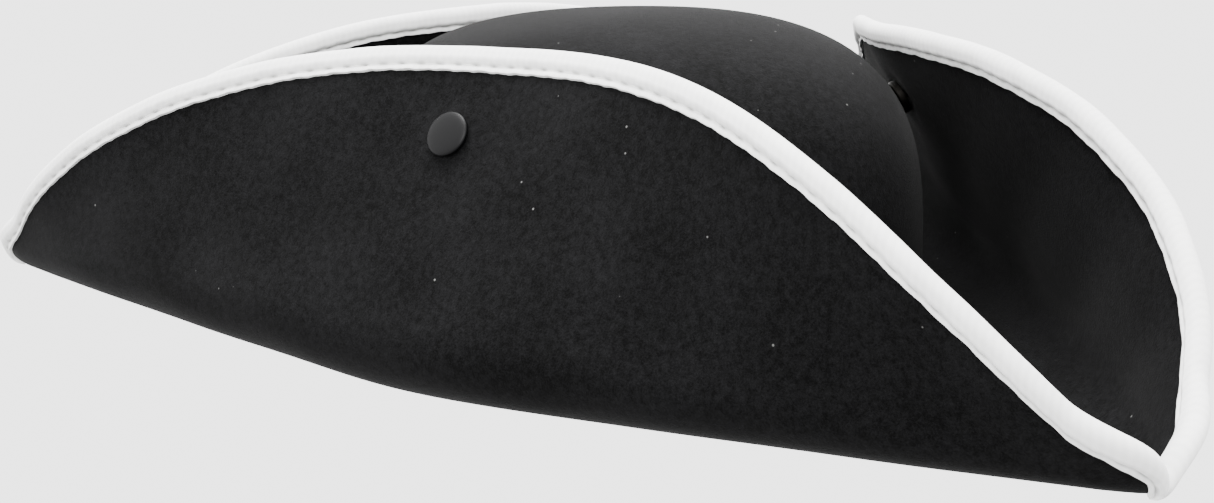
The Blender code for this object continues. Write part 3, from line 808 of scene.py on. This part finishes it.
# %% The tape's section
def tape_height(inward, along, edge_length):
    """Height of the tape's outside over the felt, at distances in from the felt's edge."""
    stitches = round(edge_length / STITCH)
    phase = 2 * math.pi * stitches * along / edge_length
    down = np.clip((inward - ROLL_PEAK) / (SEAM - ROLL_PEAK), -1, 1)
    roll = ROLL_HEIGHT * np.cos(down * math.pi / 2) ** ROLL_FULLNESS
    roll = roll * (1 + ROLL_CHANGE * np.sin(phase / 3 + 1.0))
    roll = roll + PUCKER * np.cos(phase) * smooth(inward / SEAM)
    past = np.clip((inward - SEAM) / (BINDING_WIDTH - SEAM), 0, 1)
    strip = STRIP_HEIGHT * np.sin(past * STRIP_ARCH) ** STRIP_FULLNESS
    strip = strip * (1 + STRIP_CHANGE * np.sin(phase / 2 + 0.5))
    seam = SEAM_HEIGHT - DIMPLE * (0.5 + 0.5 * np.cos(phase)) ** 3
    return np.maximum(np.where(inward < SEAM, roll, strip), seam)


def tape_sections(flap, stations, along, edge_length):
    """Grids of the tape's outer and inner face, and its UV layers: weave is metres along and
    across the tape, and seam is stitches along it and millimetres in from the stitched line."""
    stitches = round(edge_length / STITCH)
    phase = 2 * math.pi * stitches * along / edge_length
    wave = np.cos(phase + 0.6) + 0.6 * np.cos(0.37 * phase) + 0.4 * np.sin(1.9 * phase)
    wave = EDGE_WAVE * wave
    edge = flap.length(stations) - EDGE_REACH
    room = np.minimum(1.0, edge * SHARE_FOR_TAPE / BINDING_WIDTH)
    share = np.linspace(1.0, 0.0, ARM_POINTS)[:, None]
    inward = share * (BINDING_WIDTH + wave)
    height = tape_height(inward, along, edge_length)
    past_tip = ((share - 1 + STRIP_TIP) / STRIP_TIP).clip(0)
    tips = np.sqrt(np.clip(1 - past_tip**2, 0.02, 1))
    seat = FELT / 2 + TAPE_SEAT
    arm = seat + height * tips * mix(THIN_AT_HORN, 1.0, room)
    turn = np.linspace(0, math.pi, ROUND_POINTS)[1:-1, None]
    round_l = edge + EDGE_REACH * ROUND_SWELL * np.sin(turn)
    round_off = arm[-1] * np.cos(turn)
    l = np.concatenate([edge - inward * room, round_l, edge - inward[::-1] * room])
    off = np.concatenate([arm, round_off, -arm[::-1]])
    u = np.broadcast_to(stations, l.shape)
    outer = flap.point(u, l, off)
    inner_round = edge + (seat + BINDING_EASE) * np.sin(turn) * ROUND_LINING
    inner_l = np.concatenate([edge - inward * room, inner_round, edge - inward[::-1] * room])
    side = np.concatenate([np.ones(ARM_POINTS), np.cos(turn[:, 0]), -np.ones(ARM_POINTS)])
    inner = flap.point(u, inner_l, seat * side[:, None] + 0 * l)
    across = np.concatenate([np.zeros((1, len(stations))),
                             np.cumsum(np.linalg.norm(np.diff(outer, axis=0), axis=-1), axis=0)])
    weave = np.stack([np.broadcast_to(along, l.shape), across], axis=-1)
    ends = np.zeros((ROUND_POINTS - 2, len(stations)))
    from_seam = (np.concatenate([inward, ends, inward[::-1]]) - SEAM) / MM
    seam = np.stack([np.broadcast_to(stitches * along / edge_length, l.shape), from_seam], axis=-1)
    return outer, inner, {"weave": weave.reshape(-1, 2), "seam": seam.reshape(-1, 2)}


# %% Three tapes
def make_tape_piece(flap):
    u, travelled = edge_line(flap)
    count = int(travelled[-1] / STATION)
    along = np.linspace(0.0, travelled[-1], count)
    stations = np.interp(along, travelled, u)
    outer, inner, layers = tape_sections(flap, stations, along, travelled[-1])
    tape = make_shell(flap.name + "_tape", outer, inner, TAPE_FINISH, layers=layers)
    bend_with_flap(tape)
    return tape


HORNS_OF = {"left": "front", "back": "left_rear", "right": "right_rear"}
for flap in FLAPS:
    tape = make_tape_piece(flap)
    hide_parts(flap.name + "_flap_binding", HORNS_OF[flap.name] + "_horn_binding")

# %% [markdown]
# ## Stitches
# A lockstitch shows as a row of short threads that dive into the cloth at both ends. Each one is
# a thin tube on a shallow arch, laid in the tape's groove on both faces of the flap.

# %% Stitches in the groove
THREAD = 0.42 * MM
STITCH_GAP = 0.9 * MM
THREAD_SIDES = 6
THREAD_STEPS = 6
BARE_STITCHES = 2


def make_stitches(flap):
    u, travelled = edge_line(flap)
    stitches = round(travelled[-1] / STITCH)
    pitch = travelled[-1] / stitches
    points, faces = [], []
    for side in (1, -1):
        for i in range(BARE_STITCHES, stitches - BARE_STITCHES):
            first, after = i * pitch + STITCH_GAP / 2, (i + 1) * pitch - STITCH_GAP / 2
            along = np.linspace(first, after, THREAD_STEPS)
            arch = np.sin(np.linspace(0, math.pi, THREAD_STEPS))
            station = np.interp(along, travelled, u)
            l = flap.length(station) - EDGE_REACH - SEAM
            height = FELT / 2 + TAPE_SEAT + SEAM_HEIGHT + THREAD * (0.45 * arch - 0.35)
            line = flap.point(station, l, side * height)
            ahead = unit(np.gradient(line, axis=0))
            up = side * flap.facing(station, l)
            across = np.cross(ahead, up)
            thick = THREAD / 2 * (0.45 + 0.55 * arch)
            start = len(points)
            for ring in range(THREAD_STEPS):
                for angle in np.arange(THREAD_SIDES) * 2 * math.pi / THREAD_SIDES:
                    spoke = math.cos(angle) * up[ring] + math.sin(angle) * across[ring]
                    points.append(line[ring] + thick[ring] * spoke)
            faces += grid_faces(THREAD_STEPS, THREAD_SIDES, start, columns_meet=True)
            faces.append(list(range(start, start + THREAD_SIDES)))
            last = start + (THREAD_STEPS - 1) * THREAD_SIDES
            faces.append(list(range(last, last + THREAD_SIDES))[::-1])
    piece = add_piece(flap.name + "_tape_stitches", points, faces, THREAD_FINISH)
    bend_with_flap(piece)
    print(f"{piece.name}: {2 * (stitches - 2 * BARE_STITCHES)} stitches, {pitch / MM:.1f} mm apart")


for flap in FLAPS:
    make_stitches(flap)

# %% [markdown]
# ## Press studs
# Each is turned or pressed round metal, so a profile spun round an axis gives its true shape.
# The cap is a shallow dome whose rim is rolled in. The socket is a flat ring with a mouth, the
# stud a small knob on a flange, and the post behind the crown a flat disc with a stem.

# %% Press studs
ROUND_SIDES = 64
CAP_RADIUS = 6.5 * MM
CAP_RISE = 2.2 * MM
CAP_EASE = 0.5 * MM
CAP_LIP = 0.9 * MM
CAP_DOME_POWER = 2.6
CAP_RIM_SHARE = 0.7
DOME_STEPS = 24
RIM_STEPS = 8
CAP_STEM = 1.6 * MM
SOCKET_RADIUS = 5.8 * MM
SOCKET_PLATE = 1.2 * MM
SOCKET_DEPTH = 1.4 * MM
SOCKET_MOUTH = 3.4 * MM
STUD_FLANGE_RADIUS = 5.0 * MM
STUD_FLANGE = 1.2 * MM
STUD_HEAD = 2.0 * MM
STUD_HEAD_RADIUS = 1.9 * MM
STUD_NECK = 1.6 * MM
POST_DISC_RADIUS = 4.8 * MM
POST_DISC = 0.8 * MM
POST_EASE = 1.1 * MM
POST_STEM = 1.2 * MM
METAL_ROUND = 0.3 * MM


def rounded(corners, radius):
    """A profile whose inner corners are eased by short arcs."""
    out = [corners[0]]
    for before, corner, after in zip(corners, corners[1:], corners[2:]):
        before, corner, after = (np.array(p) for p in (before, corner, after))
        reach = min(radius, np.linalg.norm(before - corner) / 2, np.linalg.norm(after - corner) / 2)
        start = corner + reach * unit(before - corner)
        end = corner + reach * unit(after - corner)
        for t in (0.0, 0.25, 0.5, 0.75, 1.0):
            out.append(tuple((1 - t) ** 2 * start + 2 * t * (1 - t) * corner + t * t * end))
    return out + [corners[-1]]


def turned(name, profile, finish, place, way, node):
    """A round piece spun from (radius, height) points that run from axis to axis."""
    angles = np.arange(ROUND_SIDES) * 2 * math.pi / ROUND_SIDES
    spin = Vector(way).to_track_quat("Z", "Y").to_matrix()
    points = []
    for radius, height in profile:
        for angle in angles:
            spot = Vector((radius * math.cos(angle), radius * math.sin(angle), height))
            points.append(place + np.array(spin @ spot))
    faces = grid_faces(len(profile), ROUND_SIDES, columns_meet=True)
    piece = add_piece(name, points, faces, finish)
    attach(piece, "hat" if "stud" in name or "post" in name else node.split("_")[0] + "_flap")
    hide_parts(node)
    return piece


# %% Cap, socket, stud and post
def cap_profile(face, under):
    """Stem, flat under side, rolled rim and dome, from axis to axis."""
    profile = [(0.0, under), (CAP_STEM, under), (CAP_STEM, face), (CAP_RADIUS - CAP_LIP, face)]
    for t in np.linspace(0, math.pi / 2, RIM_STEPS):
        radius = CAP_RADIUS - CAP_LIP * (1 - math.sin(t)) * CAP_RIM_SHARE
        profile.append((radius, face + CAP_LIP * (1 - math.cos(t))))
    for t in np.linspace(0, math.pi / 2, DOME_STEPS):
        rise = (CAP_RISE - CAP_LIP) * math.sin(t) ** (2 / CAP_DOME_POWER)
        profile.append((CAP_RADIUS * math.cos(t), face + CAP_LIP + rise))
    return profile[:-1] + [(0.0, profile[-1][1])]


def make_press_stud(flap):
    place, way = flap.snap_place()
    place = place - way * CAP_SWELL
    face = FELT / 2 + CAP_EASE
    under = -face - SOCKET_PLATE
    turned(flap.name + "_cap", cap_profile(face, under), ENAMEL_FINISH, place, way,
           flap.name + "_snap_cap")
    mouth = under - SOCKET_DEPTH
    lip = METAL_ROUND
    socket = rounded([(0.0, under), (SOCKET_MOUTH, under), (SOCKET_MOUTH, mouth + lip),
                      (SOCKET_MOUTH + lip, mouth), (SOCKET_RADIUS - lip, mouth),
                      (SOCKET_RADIUS, mouth + 2 * lip), (SOCKET_RADIUS, -face), (0.0, -face)],
                     METAL_ROUND)
    turned(flap.name + "_socket", socket, METAL_FINISH, place, way,
           flap.name + "_snap_socket")
    seat, facing = flap.stud_place()
    flange = STUD_FLANGE
    head = flange + STUD_HEAD
    stud = rounded([(0.0, 0.0), (STUD_FLANGE_RADIUS, 0.0), (STUD_FLANGE_RADIUS, flange * 0.5),
                    (STUD_FLANGE_RADIUS - lip, flange), (STUD_NECK, flange),
                    (STUD_HEAD_RADIUS, mix(flange, head, 0.6)),
                    (STUD_HEAD_RADIUS - lip, head), (0.0, head)], METAL_ROUND)
    turned(flap.name + "_stud", stud, METAL_FINISH, seat, facing,
           flap.name + "_snap_stud")
    inside = -FELT - POST_EASE
    post = rounded([(0.0, inside - POST_DISC), (POST_DISC_RADIUS, inside - POST_DISC),
                    (POST_DISC_RADIUS, inside), (POST_STEM, inside), (POST_STEM, -lip),
                    (0.0, -lip)], METAL_ROUND)
    turned(flap.name + "_post", post, METAL_FINISH, seat, facing,
           flap.name + "_snap_post")
    print(f"{flap.name} press stud at", (CENTRE + place).round(4))


for flap in FLAPS:
    make_press_stud(flap)

# %% [markdown]
# ## Sweatband
# A ribbon is sewn round the inside of the head opening. It is one length, so its ends overlap at
# the back. Its top edge is free and stands off the felt in slow waves, and a row of stitches
# holds its lower edge.

# %% Sweatband
BAND_BOTTOM = FELT / 2 + 0.6 * MM
BAND_TOP = 32 * MM
BAND_INSET = 0.3 * MM
BAND_THICKNESS = 0.8 * MM
BAND_WAVE = 0.5 * MM
BAND_LAP = math.radians(9.0)
BAND_LAP_AIR = 0.15 * MM
BAND_COLUMNS = 240
BAND_ROWS = 12


def band_points(angle, share, inset):
    """A place on the ribbon, at a share of its width up from the lower edge."""
    z = mix(BAND_BOTTOM, BAND_TOP, share)
    free = BAND_WAVE * share**2 * (0.5 + 0.5 * np.sin(7 * angle + 0.7 * np.sin(3 * angle)))
    oval = CROWN_OVAL - (FELT + BAND_INSET + inset + free)[..., None]
    level = oval * np.stack([np.cos(angle), np.sin(angle)], axis=-1) * crown_scale(z)[..., None]
    return np.concatenate([level, z[..., None]], axis=-1)


def make_sweatband():
    start = math.pi / 2
    angle = start + np.linspace(0.0, 2 * math.pi + BAND_LAP, BAND_COLUMNS)[None, :]
    share = np.linspace(0.0, 1.0, BAND_ROWS)[:, None]
    angle, share = np.broadcast_arrays(angle, share)
    lapped = smooth((angle - start - 2 * math.pi + BAND_LAP) / BAND_LAP)
    lift = lapped * (BAND_THICKNESS + BAND_LAP_AIR)
    shown = band_points(angle, share, lift + BAND_THICKNESS)
    hidden = band_points(angle, share, lift)
    along = (angle - start) * (CROWN_HALF_WIDTH + CROWN_HALF_LENGTH) / 2
    weave = np.stack([along, share * (BAND_TOP - BAND_BOTTOM)], axis=-1).reshape(-1, 2)
    band = make_shell("sweatband_ribbon", shown, hidden, RIBBON_FINISH, layers={"weave": weave})
    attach(band, "hat")
    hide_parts("sweatband")
    print(f"sweatband: {along.max() / MM:.0f} mm of ribbon")


make_sweatband()

# %% [markdown]
# ## Studio
# The hat hangs in even white light, with no floor, so that nothing draws the eye from it. A plain
# white world would light black felt flat. So the world is strongest from above and behind and
# weakest from below in front, which makes the far flap's inner face the darkest felt. Two soft
# lamps, one overhead and one in front, model the crown and the near flap.

# %% Light and camera
BRIGHT_WAY = (0.3, 0.55, 0.78)
DIM_BELOW, BRIGHT_ABOVE = -0.8, -0.1
DIM_LIGHT, BRIGHT_LIGHT = 0.9, 3.4
LAMPS_AIM = Vector((0.0, 0.0, 50 * MM))
CAMERA_PLACE = (-240.5 * MM, -361.2 * MM, 134.8 * MM)
CAMERA_TURN = math.radians(-30.06)
CAMERA_LOOK_DOWN = math.radians(14.22)
CAMERA_ROLL = math.radians(-0.48)
CAMERA_LENS = 42.77


def add_light(name, place, size, power):
    light = bpy.data.lights.new(name, "AREA")
    light.shape = "DISK"
    light.size = size
    light.energy = power
    lamp = bpy.data.objects.new(name, light)
    lamp.location = place
    lamp.rotation_euler = (LAMPS_AIM - Vector(place)).to_track_quat("-Z", "Y").to_euler()
    bpy.context.scene.collection.objects.link(lamp)


def make_camera():
    level = math.cos(CAMERA_LOOK_DOWN)
    back = Vector((math.sin(CAMERA_TURN) * level, -math.cos(CAMERA_TURN) * level,
                   math.sin(CAMERA_LOOK_DOWN)))
    view = bpy.data.cameras.new("view")
    view.lens = CAMERA_LENS
    camera = bpy.data.objects.new("view", view)
    look = (-back).to_track_quat("-Z", "Y").to_matrix() @ Matrix.Rotation(CAMERA_ROLL, 3, "Z")
    camera.matrix_world = Matrix.Translation(CAMERA_PLACE) @ look.to_4x4()
    bpy.context.scene.collection.objects.link(camera)
    bpy.context.scene.camera = camera


def make_world():
    world = bpy.data.worlds.new("studio")
    world.use_nodes = True
    tree = world.node_tree
    sky = tree.nodes["Background"]
    sky.inputs["Color"].default_value = linear("#FFFFFF")
    way = add_node(tree, "ShaderNodeTexCoord")
    height = add_node(tree, "ShaderNodeVectorMath", {"operation": "DOT_PRODUCT", 1: BRIGHT_WAY},
                      {0: (way, "Generated")})
    strength = add_node(tree, "ShaderNodeMapRange",
                        {"From Min": DIM_BELOW, "From Max": BRIGHT_ABOVE,
                         "To Min": DIM_LIGHT, "To Max": BRIGHT_LIGHT},
                        {"Value": (height, "Value")})
    tree.links.new(strength.outputs["Result"], sky.inputs["Strength"])
    bpy.context.scene.world = world


make_world()
make_camera()
add_light("overhead_softbox", (-0.1, 0.2, 1.5), 1.0, 55.0)
add_light("front_softbox", (-0.9, -1.1, 1.2), 0.7, 22.0)
